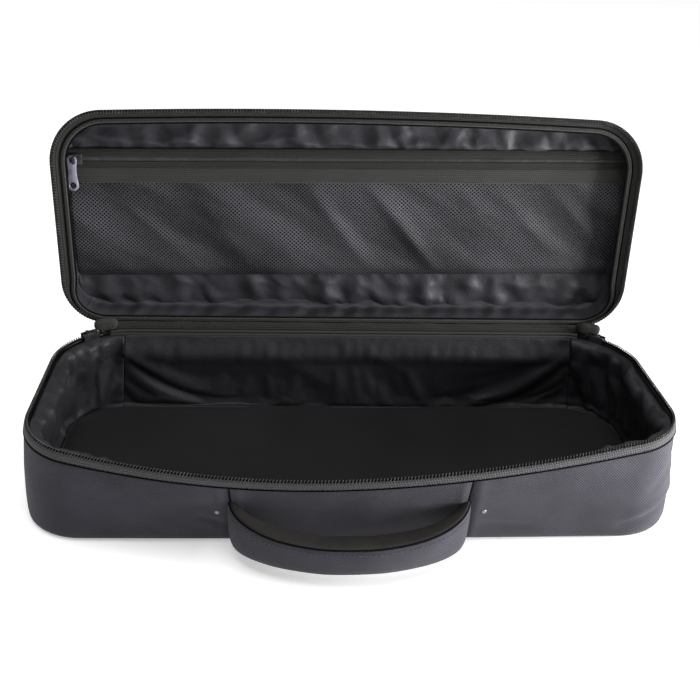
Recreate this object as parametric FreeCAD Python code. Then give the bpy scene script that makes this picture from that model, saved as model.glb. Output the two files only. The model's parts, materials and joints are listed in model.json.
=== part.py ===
"""Soft-sided carry case, opened: tub with foam walls, hinged lid with a zipped mesh pocket, carry handle.

Frame: origin at the centre of the bottom face, +X to the right seen from the front, +Y to the back, +Z up.
The lid is drawn closed and turned open about the hinge line, so both halves share one set of sizes.
"""
import FreeCAD
import Part
import math
import os
from FreeCAD import Vector

# ---------------------------------------------------------------- sizes that can be set (mm, degrees)
# Plan of the base
rim_length = 500.0            # end to end at the zip seam
depth = 190.0                 # front corner line to back wall
end_flare = 8.0               # each end wall stands this much further out at the bottom
rim_bow = 24.0                # middle of the front wall forward of its corners, at the rim
bottom_tuck = 3.0             # the bottom's front edge behind the rim's front corner line
bottom_bow = 1.0              # the same at the bottom
front_corner = 50.0
back_corner = 57.0
base_height = 74.4            # bottom face to the zip seam

# Plan and height of the lid
lid_depth = 188.0             # hinge wall to front corner line
lid_bow = 4.0
lid_front_corner = 47.0
lid_hinge_corner = 38.0
lid_band_height = 24.2        # zip seam to the top panel
open_angle = 95.0             # how far the lid stands open

# Sheets and pads
fabric = 1.0
foam = 4.0
lid_foam = 3.0
lining = 0.6
board = 2.0
layer_gap = 0.3               # between one layer and the next

# Main zip
tape_width = 6.7              # part of the tape that shows beside the coil
tape_thick = 0.8
coil_width = 2.2
coil_height = 2.0
closing_gap = 2.4             # between the two coil rows when the lid is laid shut
hinge_setback = 1.0           # hinge line behind the back wall
zip_end_angle = 66.0          # where the zip ends, round each back corner from the end wall

# Main zip sliders
slider_angle = 55.0           # where the sliders rest, round each back corner from the end wall
slider_length = 15.0
slider_height = 10.1
plate = 1.5
slider_clearance = 0.35
neck_length = 5.0
crown_width = 2.4
crown_height = 6.4
crown_reach = 5.0             # outer plate to the far side of the crown
crown_bar = 1.2
pull_length = 29.0
pull_width = 8.6
pull_thick = 1.4
pull_eye = 5.2                # length of the eye that goes round the crown
pull_arm = 1.9

# Pocket in the lid, heights up from the hinge wall
mesh_bottom = 41.0
mesh_top = 126.5
hem_top = 137.5
pocket_zip_height = 145.5
pocket_tape_top = 153.0
pocket_tilt = 0.8             # the pocket is sewn a little higher at its right end
pocket_depth = 4.1            # mesh to the panel lining
pocket_row = 1.4              # one row of the pocket coil
pocket_row_gap = 1.2
pocket_slider_x = -233.0
pocket_slider_length = 13.0
pocket_slider_width = 9.0
pocket_neck = 0.6

# Handle: a padded band on a circle seen from above
handle_half_span = 88.0       # middle of the case to each sewn end
handle_reach = 46.0           # sewn ends to the outermost point of the grip
handle_thick = 11.0
handle_bottom = 12.0
handle_top = 42.0
handle_end_bottom = 5.0
handle_end_top = 45.0
handle_swing_angle = 47.0     # half the turning part, seen from above
handle_webbing = 1.2
handle_cover = 1.0
handle_root = 8.0             # sewn ends forward of the front corner line

# Small trim
seam_x = 90.0                 # seams at the ends of the front panel
rivet_x = 102.0
rivet_z = 37.0
rivet_radius = 2.4
rivet_height = 1.3
side_tab_width = 25.0
side_tab_back = 33.0          # front edge of the tab, behind the front corner line
side_tab_bottom = 32.0
side_tab_top = 68.0
side_tab_thick = 2.6

# ---------------------------------------------------------------- sizes that follow
tiny = 0.02
half_rim = rim_length / 2
back_y = depth / 2
front_y = -depth / 2
coil_top = base_height + layer_gap + tape_width + 0.2 + coil_height
hinge_y = back_y + hinge_setback
hinge_z = coil_top + closing_gap / 2
tape_inset = 1.0
coil_inset = tape_inset + tape_thick / 2 - coil_width / 2
foam_in = fabric + layer_gap
lining_in = foam_in + foam + layer_gap
floor_in = lining_in + lining + layer_gap
lid_lining_in = foam_in + lid_foam + layer_gap
lid_clear_in = lid_lining_in + lining + 0.4
lid_zip = hinge_z + closing_gap / 2
lid_tape = lid_zip + coil_height + 0.2
lid_band = lid_tape + tape_width + layer_gap
lid_panel = lid_band + lid_band_height
lid_board = lid_panel - board
lid_pad = lid_board - layer_gap - foam
lid_lining_level = lid_pad - layer_gap - lining
mesh_level = lid_lining_level - pocket_depth - tape_thick
corner_x = half_rim - back_corner
corner_y = back_y - back_corner
zip_end_x = corner_x + back_corner * math.cos(math.radians(zip_end_angle))
lid_zip_end_x = half_rim - lid_hinge_corner
hinge_half = min(zip_end_x, lid_zip_end_x) - 4.0


# ---------------------------------------------------------------- tools
def box(x0, x1, y0, y1, z0, z1):
    return Part.makeBox(x1 - x0, y1 - y0, z1 - z0, Vector(x0, y0, z0))


def both_sides(shape):
    """The shape and its mirror image across the middle of the case."""
    return [shape, shape.mirror(Vector(0, 0, 0), Vector(1, 0, 0))]


def polar(x, y, radius, angle, z):
    return Vector(x + radius * math.cos(angle), y + radius * math.sin(angle), z)


def outline(half, back, front, bow, r_front, r_back, z):
    """Closed plan: straight ends and back, round corners, and a front that bows forward."""
    chord = half - r_front
    big = (chord ** 2 + bow ** 2) / (2 * bow)
    big_y = front - bow + big
    corner_front_y = big_y - math.sqrt((big - r_front) ** 2 - chord ** 2)
    turn = math.atan2(corner_front_y - big_y, chord)
    meet = polar(0, big_y, big, turn, z)
    back_mid = half - r_back
    right = [
        (meet, polar(chord, corner_front_y, r_front, turn / 2, z), Vector(half, corner_front_y, z)),
        (Vector(half, corner_front_y, z), None, Vector(half, back - r_back, z)),
        (Vector(half, back - r_back, z), polar(back_mid, back - r_back, r_back, math.pi / 4, z),
         Vector(back_mid, back, z)),
    ]
    left = [(flip(b), flip(m), flip(a)) for a, m, b in reversed(right)]
    runs = right + [(Vector(back_mid, back, z), None, Vector(-back_mid, back, z))] + left
    runs.append((flip(meet), Vector(0, front - bow, z), meet))
    return Part.Wire([edge(*run) for run in runs])


def flip(point):
    return None if point is None else Vector(-point.x, point.y, point.z)


def edge(start, middle, end):
    if middle is None:
        return Part.makeLine(start, end)
    return Part.Arc(start, middle, end).toShape()


def inset_outline(half, back, front, bow, r_front, r_back, inset, z):
    """The same plan moved inward all round: every arc keeps its centre."""
    chord = half - r_front
    big = (chord ** 2 + bow ** 2) / (2 * bow)
    big_y = front - bow + big
    inner = big - inset
    inner_half = half - inset
    inner_r = r_front - inset
    inner_bow = inner - math.sqrt(inner ** 2 - chord ** 2)
    inner_front = big_y - inner + inner_bow
    return outline(inner_half, back - inset, inner_front, inner_bow, inner_r, r_back - inset, z)


def rim_plan(inset, z):
    return inset_outline(half_rim, back_y, front_y, rim_bow, front_corner, back_corner, inset, z)


def bottom_plan(inset, z):
    return inset_outline(half_rim + end_flare, back_y, front_y + bottom_tuck, bottom_bow, front_corner, back_corner,
                         inset, z)


def lid_plan(inset, z):
    return inset_outline(half_rim, back_y, back_y - lid_depth, lid_bow, lid_front_corner,
                         lid_hinge_corner, inset, z)


def prism(plan, inset, z0, z1):
    return Part.Face(plan(inset, z0)).extrude(Vector(0, 0, z1 - z0))


def ring(plan, outer, inner, z0, z1):
    return prism(plan, outer, z0, z1).cut(prism(plan, inner, z0 - tiny, z1 + tiny))


def slab(z0, z1):
    wide = rim_length
    return box(-wide, wide, -wide, wide, z0, z1)


def tub(inset):
    """The base as one block, from its bottom plan up to its rim plan."""
    return Part.makeLoft([bottom_plan(inset, 0), rim_plan(inset, base_height)], True, True)


def tub_slice(inset, z0, z1):
    return tub(inset).common(slab(z0, z1))


def tub_wall(outer, inner, z0, z1):
    return tub(outer).cut(tub(inner)).common(slab(z0, z1))


def on_wall(block, lift, thick):
    """What a block covers of a layer lying on the outside of the base."""
    return block.common(tub(-lift - thick)).cut(tub(-lift))


def four_sides(wall, split_x):
    """One wall ring cut into its front, back, left and right lengths."""
    far = rim_length
    inner = split_x - layer_gap / 2
    outer = split_x + layer_gap / 2
    cuts = {
        "front": box(-inner, inner, -far, 0, 0, far),
        "back": box(-inner, inner, 0, far, 0, far),
        "left": box(-far, -outer, -far, far, 0, far),
        "right": box(outer, far, -far, far, 0, far),
    }
    return {side: wall.common(cut) for side, cut in cuts.items()}


def band_sector(x, y, r0, r1, z0, z1, start, end):
    """Part of a ring about a vertical axis, between two angles in degrees."""
    axis = Vector(0, 0, 1)
    outer = Part.makeCylinder(r1, z1 - z0, Vector(x, y, z0), axis, end - start)
    inner = Part.makeCylinder(r0, z1 - z0 + 2 * tiny, Vector(x, y, z0 - tiny), axis, 360)
    sector = outer.cut(inner)
    sector.rotate(Vector(x, y, z0), axis, start)
    return sector


def opened(shape):
    """Turn a lid piece from closed to where the lid stands."""
    turned = shape.copy()
    turned.rotate(Vector(0, hinge_y, hinge_z), Vector(-1, 0, 0), open_angle)
    return turned


def save(name, shape):
    shape.exportStep("parts/%s.step" % name)


def save_lid(name, shape):
    save(name, opened(shape))


# ---------------------------------------------------------------- base
def make_base():
    floor_fabric_top = fabric
    board_low = floor_fabric_top + layer_gap
    board_high = board_low + board
    pad_low = board_high + layer_gap
    pad_high = pad_low + foam
    floor_low = pad_high + layer_gap
    floor_high = floor_low + lining
    save("base_bottom_fabric", tub_slice(0, 0, floor_fabric_top))
    save("base_board", tub_slice(foam_in, board_low, board_high))
    save("base_bottom_foam", tub_slice(lining_in, pad_low, pad_high))
    save("base_floor_lining", tub_slice(floor_in, floor_low, floor_high))

    band = tub_wall(0, fabric, floor_fabric_top, base_height)
    middle = box(-seam_x, seam_x, -rim_length, 0, 0, base_height)
    save("base_front_panel", band.common(middle))
    save("base_outer_band", band.cut(middle))

    split = half_rim - max(front_corner, back_corner)
    wall_top = base_height - fabric
    for side, piece in four_sides(tub_wall(foam_in, foam_in + foam, pad_low, wall_top), split).items():
        save("base_foam_" + side, piece)
    lining_wall = tub_wall(lining_in, lining_in + lining, floor_low, wall_top)
    for side, piece in four_sides(lining_wall, split).items():
        save("base_lining_" + side, piece)

    hinge_region = box(-zip_end_x, zip_end_x, 0, rim_length, base_height, coil_top)
    tape_low = base_height + layer_gap
    tape = ring(rim_plan, tape_inset, tape_inset + tape_thick, tape_low, tape_low + tape_width)
    coil = ring(rim_plan, coil_inset, coil_inset + coil_width, coil_top - coil_height, coil_top)
    save("base_zip_tape", tape.cut(hinge_region))
    save("base_zip_coil", coil.cut(hinge_region))


def make_side_tabs():
    start = front_y + side_tab_back
    block = box(half_rim - front_corner, rim_length, start, start + side_tab_width,
                side_tab_bottom, side_tab_top)
    right, left = both_sides(on_wall(block, layer_gap, side_tab_thick))
    save("right_side_tab", right)
    save("left_side_tab", left)


def make_rivets():
    pin = Part.makeCylinder(rivet_radius, depth, Vector(rivet_x, -depth, rivet_z), Vector(0, 1, 0))
    save("handle_rivets", Part.makeCompound(both_sides(on_wall(pin, layer_gap, rivet_height))))


def lid_point(y, z):
    """A point of the closed lid's end view, where it lies with the lid open."""
    turn = math.radians(open_angle)
    dy, dz = y - hinge_y, z - hinge_z
    return Vector(-hinge_half, hinge_y + dy * math.cos(turn) + dz * math.sin(turn),
                  hinge_z - dy * math.sin(turn) + dz * math.cos(turn))


def make_hinge_strip():
    """One strip of fabric from the base's back band, round the hinge line, to the lid's band."""
    low = base_height + layer_gap
    bend = coil_top - 0.4
    lid_start = hinge_z + 1.6
    lid_end = lid_band - layer_gap
    inner = back_y - fabric
    corners = [
        Vector(-hinge_half, inner, low),
        Vector(-hinge_half, back_y, low),
        Vector(-hinge_half, back_y, bend),
        lid_point(back_y, lid_start),
        lid_point(back_y, lid_end),
        lid_point(inner, lid_end),
        lid_point(inner, lid_start),
        Vector(-hinge_half, inner, bend + 0.5),
    ]
    section = Part.Face(Part.makePolygon(corners + corners[:1]))
    save("hinge_strip", section.extrude(Vector(2 * hinge_half, 0, 0)))


# ---------------------------------------------------------------- handle
def make_handle():
    outer = (handle_half_span ** 2 + handle_reach ** 2) / (2 * handle_reach)
    inner = outer - handle_thick
    centre_y = front_y - handle_root - handle_reach + outer
    start, end = -90 - handle_swing_angle, -90 + handle_swing_angle

    def arc(r0, r1, z0, z1, a0=start, a1=end):
        return band_sector(0, centre_y, r0, r1, z0, z1, a0, a1)

    low, high = handle_bottom, handle_top
    skin = handle_cover
    outer_cover = arc(outer - skin, outer, low, high)
    outer_cover = outer_cover.fuse(arc(inner + skin, outer - skin, low, low + skin))
    inner_cover = arc(inner, inner + skin, low, high)
    inner_cover = inner_cover.fuse(arc(inner + skin, outer - skin, high - skin, high))
    pad_low, pad_high = low + skin + layer_gap, high - skin - layer_gap
    webbing_in = inner + skin + layer_gap
    pad_in = webbing_in + handle_webbing + layer_gap
    save("handle_outer_cover", outer_cover.removeSplitter())
    save("handle_inner_cover", inner_cover.removeSplitter())
    save("handle_webbing", arc(webbing_in, webbing_in + handle_webbing, pad_low + 2, pad_high - 2))
    save("handle_foam_core", arc(pad_in, outer - skin - layer_gap, pad_low, pad_high))

    joint = 0.7
    root = arc(inner, outer, handle_end_bottom, handle_end_top, end + joint, end + 12)
    root = root.cut(tub(-layer_gap)).common(box(0, rim_length, -rim_length, 0, 0, base_height))
    right, left = both_sides(root)
    save("right_handle_end", right)
    save("left_handle_end", left)


# ---------------------------------------------------------------- lid
def make_lid():
    save_lid("lid_top_fabric", prism(lid_plan, 0, lid_panel + layer_gap, lid_panel + layer_gap + fabric))
    save_lid("lid_board", prism(lid_plan, foam_in, lid_board, lid_panel))
    save_lid("lid_top_foam", prism(lid_plan, foam_in, lid_pad, lid_pad + foam))
    save_lid("lid_outer_band", ring(lid_plan, 0, fabric, lid_band, lid_panel))
    save_lid("lid_panel_lining", prism(lid_plan, lid_lining_in, lid_lining_level, lid_lining_level + lining))

    split = half_rim - max(lid_front_corner, lid_hinge_corner)
    wall_low = lid_band + layer_gap
    pads = ring(lid_plan, foam_in, foam_in + lid_foam, wall_low, lid_pad - layer_gap)
    for side, piece in four_sides(pads, split).items():
        save_lid("lid_foam_" + side, piece)
    sheets = ring(lid_plan, lid_lining_in, lid_lining_in + lining, wall_low, lid_lining_level - layer_gap)
    for side, piece in four_sides(sheets, split).items():
        save_lid("lid_lining_" + side, piece)

    hinge_region = box(-lid_zip_end_x, lid_zip_end_x, 0, rim_length, lid_zip, lid_band)
    tape = ring(lid_plan, tape_inset, tape_inset + tape_thick, lid_tape, lid_tape + tape_width)
    coil = ring(lid_plan, coil_inset, coil_inset + coil_width, lid_zip, lid_zip + coil_height)
    binding_in = tape_inset + tape_thick + layer_gap
    binding = ring(lid_plan, binding_in, binding_in + 2.2, lid_band - 3.0, lid_band)
    save_lid("lid_zip_tape", tape.cut(hinge_region))
    save_lid("lid_zip_coil", coil.cut(hinge_region))
    save_lid("lid_rim_binding", binding.cut(hinge_region))


def tilted(shape):
    """A piece of the closed lid's pocket turned by the pocket's tilt, about the middle of its zip."""
    turned = shape.copy()
    turned.rotate(Vector(0, back_y - pocket_zip_height, 0), Vector(0, 0, 1), -pocket_tilt)
    return turned


def make_pocket():
    inside = prism(lid_plan, lid_clear_in, lid_zip, lid_lining_level)

    def strip(low, high, z0, z1):
        reach = rim_length
        return tilted(box(-reach, reach, back_y - high, back_y - low, z0, z1)).common(inside)

    gap = layer_gap
    top = mesh_level + tape_thick
    row_low = pocket_zip_height - pocket_row_gap / 2 - pocket_row
    row_high = pocket_zip_height + pocket_row_gap / 2
    coil_z0, coil_z1 = mesh_level - 0.6, top + 0.6
    save_lid("pocket_mesh", strip(mesh_bottom, mesh_top, mesh_level, top))
    save_lid("pocket_hem", strip(mesh_top + gap, hem_top, mesh_level - 0.6, top))
    save_lid("pocket_tape_lower", strip(hem_top + gap, row_low - gap, mesh_level, top))
    save_lid("pocket_tape_upper", strip(row_high + pocket_row + gap, pocket_tape_top, mesh_level, top))
    rows = [strip(row_low, row_low + pocket_row, coil_z0, coil_z1)]
    rows.append(strip(row_high, row_high + pocket_row, coil_z0, coil_z1))
    save_lid("pocket_coil", Part.makeCompound(rows))
    make_pocket_slider(coil_z0, coil_z1)


# ---------------------------------------------------------------- sliders
def pull_tab(bar_x, bar_y, bar_z):
    """A pull hanging straight down from a bar along Y; its face looks along X."""
    half = pull_width / 2
    radius = pull_thick / 2
    top = bar_z + radius
    x0, x1 = bar_x - radius, bar_x + radius
    round_end = Part.makeCylinder(half, pull_thick, Vector(x0, bar_y, top - pull_length + half),
                                  Vector(1, 0, 0))
    blade = box(x0, x1, bar_y - half, bar_y + half, top - pull_length + half, top - radius)
    hole = box(x0 - 1, x1 + 1, bar_y - half + pull_arm, bar_y + half - pull_arm, top - radius - pull_eye, top)
    bar = Part.makeCylinder(radius, pull_width, Vector(bar_x, bar_y - half, bar_z), Vector(0, 1, 0))
    finger_hole = Part.makeCylinder(half - pull_arm, pull_thick + 2,
                                    Vector(x0 - 1, bar_y, top - pull_length + half), Vector(1, 0, 0))
    return blade.fuse(round_end).cut(hole).cut(finger_hole).fuse(bar).removeSplitter()


def crown(plate_x, middle_y, middle_z):
    """The loop on a slider's outer plate; it stands out along X and is long along Z."""
    z0, z1 = middle_z - crown_height / 2, middle_z + crown_height / 2
    y0, y1 = middle_y - crown_width / 2, middle_y + crown_width / 2
    loop = box(plate_x, plate_x + crown_reach, y0, y1, z0, z1)
    window = box(plate_x, plate_x + crown_reach - crown_bar, y0 - 1, y1 + 1, z0 + crown_bar, z1 - crown_bar)
    return loop.cut(window)


def make_main_sliders():
    half_angle = math.degrees(slider_length / 2 / back_corner)
    neck_angle = math.degrees(neck_length / 2 / back_corner)
    outer_face = back_corner + slider_clearance
    inner_face = back_corner - coil_inset - coil_width - slider_clearance
    top = coil_top + slider_clearance + plate - 0.15
    low = top - slider_height
    crown_z = (low + top) / 2

    def sector(r0, r1, z0, z1, half):
        return band_sector(corner_x, corner_y, r0, r1, z0, z1, -half, half)

    body = sector(outer_face, outer_face + plate, low, top, half_angle)
    body = body.fuse(sector(inner_face - plate, inner_face, low, top, half_angle))
    neck_low = coil_top + slider_clearance
    body = body.fuse(sector(inner_face - tiny, outer_face + tiny, neck_low, top, neck_angle))
    crown_x = corner_x + outer_face + plate - 0.1
    body = body.fuse(crown(crown_x, corner_y, crown_z)).removeSplitter()
    bar_x = crown_x + (crown_reach - crown_bar) / 2 + 0.1
    bar_z = crown_z - crown_height / 2 + crown_bar + slider_clearance + pull_thick / 2
    pull = pull_tab(bar_x, corner_y, bar_z)
    for name, shape in (("slider_body", body), ("pull_tab", pull)):
        shape.rotate(Vector(corner_x, corner_y, 0), Vector(0, 0, 1), slider_angle)
        right, left = both_sides(shape)
        save("right_" + name, right)
        save("left_" + name, left)
    angle = math.radians(slider_angle)
    print("slider centre", corner_x, corner_y)
    print("pull pivot", polar(corner_x, corner_y, bar_x - corner_x, angle, bar_z))


def make_pocket_slider(coil_z0, coil_z1):
    x0, x1 = pocket_slider_x - pocket_slider_length / 2, pocket_slider_x + pocket_slider_length / 2
    y_mid = back_y - pocket_zip_height
    y0, y1 = y_mid - pocket_slider_width / 2, y_mid + pocket_slider_width / 2
    face = coil_z0 - slider_clearance
    back = coil_z1 + slider_clearance
    body = box(x0, x1, y0, y1, face - plate, face)
    body = body.fuse(box(x0, x1, y0, y1, back, back + plate - 0.3))
    neck = box(pocket_slider_x - 2, pocket_slider_x + 2, y_mid - pocket_neck / 2, y_mid + pocket_neck / 2,
               face - tiny, back + tiny)
    body = body.fuse(neck)
    loop = crown(0, 0, 0)
    pull_bar_x = (crown_reach - crown_bar) / 2
    pull_bar_z = -crown_height / 2 + crown_bar + slider_clearance + pull_thick / 2
    pull = pull_tab(pull_bar_x, 0, pull_bar_z)
    for shape in (loop, pull):
        lay_on_lid(shape, Vector(pocket_slider_x, y_mid, face - plate + 0.1))
    save_lid("pocket_slider_body", tilted(body.fuse(loop).removeSplitter()))
    save_lid("pocket_pull_tab", tilted(pull))
    pivot = Part.Vertex(pocket_slider_x, y_mid - pull_bar_z, face - plate + 0.1 - pull_bar_x)
    travel = Part.makeLine(Vector(0, 0, 0), Vector(rim_length, 0, 0))
    ends = opened(tilted(travel)).Vertexes
    print("pocket pull pivot", opened(tilted(pivot)).Point)
    print("pocket travel", (ends[1].Point - ends[0].Point) / rim_length)


def lay_on_lid(shape, place):
    """From standing out along +X and hanging along -Z, to facing into the closed lid and pointing
    at the hinge."""
    shape.rotate(Vector(0, 0, 0), Vector(0, 1, 0), 90)
    shape.rotate(Vector(0, 0, 0), Vector(0, 0, 1), -90)
    shape.translate(place)


def main():
    os.makedirs("parts", exist_ok=True)
    make_base()
    make_side_tabs()
    make_rivets()
    make_hinge_strip()
    make_handle()
    make_lid()
    make_pocket()
    make_main_sliders()
    print("hinge line", hinge_y, hinge_z, "mesh level", mesh_level, "lid top", lid_panel + fabric)


main()
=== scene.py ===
import json
import math

import bmesh
import bpy
import numpy as np
from mathutils import Matrix, Vector


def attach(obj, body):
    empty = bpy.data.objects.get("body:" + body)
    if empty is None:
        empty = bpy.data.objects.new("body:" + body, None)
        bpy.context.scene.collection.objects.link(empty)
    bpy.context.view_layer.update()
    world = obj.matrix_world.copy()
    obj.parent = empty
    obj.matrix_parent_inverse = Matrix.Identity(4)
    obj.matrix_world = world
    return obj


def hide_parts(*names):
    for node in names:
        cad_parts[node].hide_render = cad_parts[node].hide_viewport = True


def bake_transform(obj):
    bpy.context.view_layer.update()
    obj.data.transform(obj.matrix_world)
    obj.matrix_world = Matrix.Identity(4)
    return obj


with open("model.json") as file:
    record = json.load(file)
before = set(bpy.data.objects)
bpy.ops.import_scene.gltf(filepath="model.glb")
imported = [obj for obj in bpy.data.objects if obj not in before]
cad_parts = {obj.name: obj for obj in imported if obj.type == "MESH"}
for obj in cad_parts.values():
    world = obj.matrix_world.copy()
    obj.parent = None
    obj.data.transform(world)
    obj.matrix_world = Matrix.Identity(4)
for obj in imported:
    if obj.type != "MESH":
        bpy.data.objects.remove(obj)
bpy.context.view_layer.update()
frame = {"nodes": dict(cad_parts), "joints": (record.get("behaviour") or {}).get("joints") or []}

# Sizes in millimetres, in the frame of the case: +X right, +Y to the back, +Z up.
MM = 0.001
RIM = 79.9                    # zip seam above the table, before the rim sags
BACK_Y = 95.0
SEAM_LEFT, SEAM_RIGHT = -93.0, 83.0   # seams at the ends of the front panel
LINING_SEAM_LEFT, LINING_SEAM_RIGHT = -197.0, 205.0
TOOTH_PITCH = 2.45
BACK_CORNER, BACK_CORNER_X = 57, 193   # radius of the base's back corners, and where they begin
POCKET_TILT = 0.014           # the pocket's rows climb this much towards the right
POCKET_LEFT, POCKET_RIGHT = -240.0, 242.0
joints = {j["name"]: j for j in frame["joints"]}
HINGE_Y = joints["lid_hinge"]["pos_m"][1] / MM
HINGE_Z = joints["lid_hinge"]["pos_m"][2] / MM
LEAN = math.radians(-joints["lid_hinge"]["range_deg"][0])   # closed lid to where it stands
LID_DEEP = (0, math.sin(LEAN), math.cos(LEAN))   # from the lid's opening to its panel
PAD_SPANS = {"right": (0.14, 0.345), "back": (0.347, 0.653), "left": (0.655, 0.86), "front": (0.862, 1.138)}
scene = bpy.context.scene


# ------------------------------------------------------------------ plans
def arc(x, y, radius, start, end, count):
    angle = np.linspace(start, end, count, endpoint=False)
    return np.stack([x + radius * np.cos(angle), y + radius * np.sin(angle)], 1)


def run(start, end, count):
    share = np.linspace(0, 1, count, endpoint=False)[:, None]
    return np.array(start) * (1 - share) + np.array(end) * share


class Plan:
    """A closed outline with a bowed front, walked by a share that is 0 at the middle of the front,
    grows to the right and is 0.5 at the middle of the back. Equal shares are in line on every plan."""

    FRONT, CORNER, SIDE, HIND, REAR = 600, 240, 220, 240, 440
    HALF = FRONT + CORNER + SIDE + HIND + REAR

    def __init__(self, half, back, front, bow, r_front, r_back):
        chord = half - r_front
        big = (chord ** 2 + bow ** 2) / (2 * bow)
        big_y = front - bow + big
        corner_y = big_y - math.sqrt((big - r_front) ** 2 - chord ** 2)
        turn = math.atan2(corner_y - big_y, chord)
        right = np.concatenate([
            arc(0, big_y, big, -math.pi / 2, turn, self.FRONT),
            arc(chord, corner_y, r_front, turn, 0, self.CORNER),
            run((half, corner_y), (half, back - r_back), self.SIDE),
            arc(half - r_back, back - r_back, r_back, 0, math.pi / 2, self.HIND),
            run((half - r_back, back), (0, back), self.REAR),
            [(0, back)]])
        left = right[-2:0:-1] * (-1, 1)
        self.points = np.concatenate([right, left])
        ahead = np.roll(self.points, -8, 0) - np.roll(self.points, 8, 0)
        normal = np.stack([ahead[:, 1], -ahead[:, 0]], 1)
        self.normals = normal / np.linalg.norm(normal, axis=1)[:, None]

    def at(self, share):
        """Points and outward directions at these shares."""
        share = np.mod(np.asarray(share, float), 1)
        stops = np.arange(len(self.points) + 1) / len(self.points)

        def read(rows):
            return np.stack([np.interp(share, stops, np.append(rows[:, k], rows[0, k])) for k in (0, 1)], -1)

        return read(self.points), read(self.normals)

    def share_at(self, x, front=True):
        """The share where the front, or the back, has this x."""
        quarter = self.FRONT + self.CORNER + self.SIDE // 2
        index = np.arange(-quarter, quarter) if front else np.arange(quarter, len(self.points) - quarter)
        near = index[np.argmin(abs(self.points[index % len(self.points), 0] - x))]
        return near / len(self.points)


bottom_plan = Plan(257, BACK_Y, -92, 1, 50, BACK_CORNER)
rim_plan = Plan(250, BACK_Y, -95, 24, 50, BACK_CORNER)
lid_plan = Plan(250, BACK_Y, BACK_Y - 188, 4, 47, 38)
ZIP_END = (Plan.FRONT + Plan.CORNER + Plan.SIDE + Plan.HIND * 66 / 90) / (2 * Plan.HALF)
LID_ZIP_END = (Plan.FRONT + Plan.CORNER + Plan.SIDE + Plan.HIND * 0.98) / (2 * Plan.HALF)


def smooth(value, low, high):
    share = np.clip((value - low) / (high - low), 0, 1)
    return share * share * (3 - 2 * share)


def rim_sag(x, y):
    """How far the zip seam stands above its level: the front dips in its middle."""
    forward = np.clip((60 - y) / 155, 0, 1)
    across = x / 250
    wave = -11.3 * np.cos(math.pi / 2 * across) + 4.4 * across + 2.3 * np.sin(math.pi * across)
    return forward * wave - 5.2 * (1 - forward)


def base_rows(shares, rows):
    """A grid on the base's wall. Each row is (height as a share of the wall, lift above that, inset)."""
    low, low_out = bottom_plan.at(shares)
    high, high_out = rim_plan.at(shares)
    seam = RIM + rim_sag(high[:, 0], high[:, 1])
    grid = []
    for row in rows:
        share, lift, inset = row
        z = seam * share + lift
        t = np.clip(z / seam, 0, 1.1)[:, None]
        out = low_out * (1 - t) + high_out * t
        xy = low * (1 - t) + high * t - out * np.reshape(inset, (-1, 1))
        grid.append(np.column_stack([xy, z]))
    return np.stack(grid, 1)


def lid_rows(shares, rows):
    """A grid on the lid's wall. Each row is (height above the hinge line, inset, inset at the hinge)."""
    xy, out = lid_plan.at(shares)
    free = smooth(BACK_Y - xy[:, 1], 4, 42)
    grid = []
    for height, inset, hinge_inset in rows:
        deep = free * inset + (1 - free) * hinge_inset
        grid.append(np.column_stack([xy - out * deep[:, None], np.full(len(xy), height)]))
    return stood(np.stack(grid, 1))


def lid_outline(inset, hinge_inset):
    """The lid's outline, drawn in by this much, and by less or more beside the hinge."""
    xy, out = lid_plan.at(np.linspace(0, 1, 900))
    free = smooth(BACK_Y - xy[:, 1], 4, 42)[:, None]
    return xy - out * (free * inset + (1 - free) * hinge_inset)


def corner_draw(x):
    """How far the back wall has come forward at this x, round its corners."""
    past = np.clip(abs(x) - BACK_CORNER_X, 0, 40)
    return BACK_CORNER - np.sqrt(BACK_CORNER ** 2 - past ** 2)


def stood(points):
    """From the closed lid (z is the height above the hinge line) to where the lid stands."""
    dy, dz = points[..., 1] - HINGE_Y, points[..., 2]
    return np.stack([points[..., 0], HINGE_Y + dy * math.cos(LEAN) + dz * math.sin(LEAN),
                     HINGE_Z - dy * math.sin(LEAN) + dz * math.cos(LEAN)], -1)


def flat_grid(outline, radius, step, rows):
    """A grid of straight rows inside an outline: (columns, rows, 2)."""
    reach = outline[:, 0].max() - 0.02
    bend = radius * (1 - np.cos(np.linspace(0, math.pi / 2, 14)))
    middle = np.linspace(radius - reach, reach - radius, int(2 * (reach - radius) / step))
    x = np.concatenate([bend - reach, middle[1:-1], (reach - bend)[::-1]])
    mid = outline[:, 1].mean()
    front = outline[outline[:, 1] < mid]
    back = outline[outline[:, 1] >= mid]
    front, back = front[np.argsort(front[:, 0])], back[np.argsort(back[:, 0])]
    y0 = np.interp(x, front[:, 0], front[:, 1])
    y1 = np.interp(x, back[:, 0], back[:, 1])
    share = np.linspace(0, 1, rows)
    y = y0[:, None] * (1 - share) + y1[:, None] * share
    return np.stack([np.repeat(x[:, None], rows, 1), y], -1)


def drift(u, v, seed, wave, stretch=1.0):
    """Smooth wandering values from -1 to 1 with about this wavelength; stretch lengthens it along v."""
    draw = np.random.default_rng(seed)
    count = 9
    total = 0
    for _ in range(count):
        turn = draw.uniform(0, 2 * math.pi)
        pitch = 2 * math.pi / (wave * draw.uniform(0.7, 1.5))
        along = u * math.cos(turn) + v / stretch * math.sin(turn)
        total = total + np.sin(pitch * along + draw.uniform(0, 6.3))
    return total / math.sqrt(count) / 1.4


def folds(u, v, seed, wave, stretch=1.0):
    """Rounded ridges with sharp valleys, from 0 to 1."""
    return 1 - np.clip(abs(drift(u, v, seed, wave, stretch)) * 1.6, 0, 1)


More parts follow.
